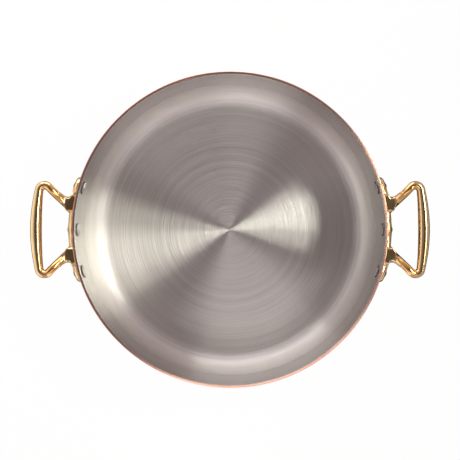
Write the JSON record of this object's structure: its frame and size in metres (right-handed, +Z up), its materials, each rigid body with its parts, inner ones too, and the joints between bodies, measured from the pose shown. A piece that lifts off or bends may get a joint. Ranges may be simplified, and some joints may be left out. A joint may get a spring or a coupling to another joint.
{
  "type": "saute pan",
  "caption": "Round straight-sided copper saute pan with a steel lining and a riveted brass loop handle on each side.",
  "frame": {"origin": "middle of the pan's flat underside", "axes": "+Z up, +X towards the right-hand handle, +Y towards the back"},
  "size_m": [0.357, 0.285, 0.0914],
  "materials": {
    "copper": "polished copper",
    "lining_steel": "circular brushed stainless steel",
    "handle_brass": "polished cast brass",
    "rivet_steel": "bright stainless steel"
  },
  "bodies": {
    "root": {"copper_shell": "copper", "steel_lining": "lining_steel", "handle_left": "handle_brass", "handle_right": "handle_brass", "rivet_left_front": "rivet_steel", "rivet_left_middle": "rivet_steel", "rivet_left_back": "rivet_steel", "rivet_right_front": "rivet_steel", "rivet_right_middle": "rivet_steel", "rivet_right_back": "rivet_steel"}
  },
  "joints": []
}
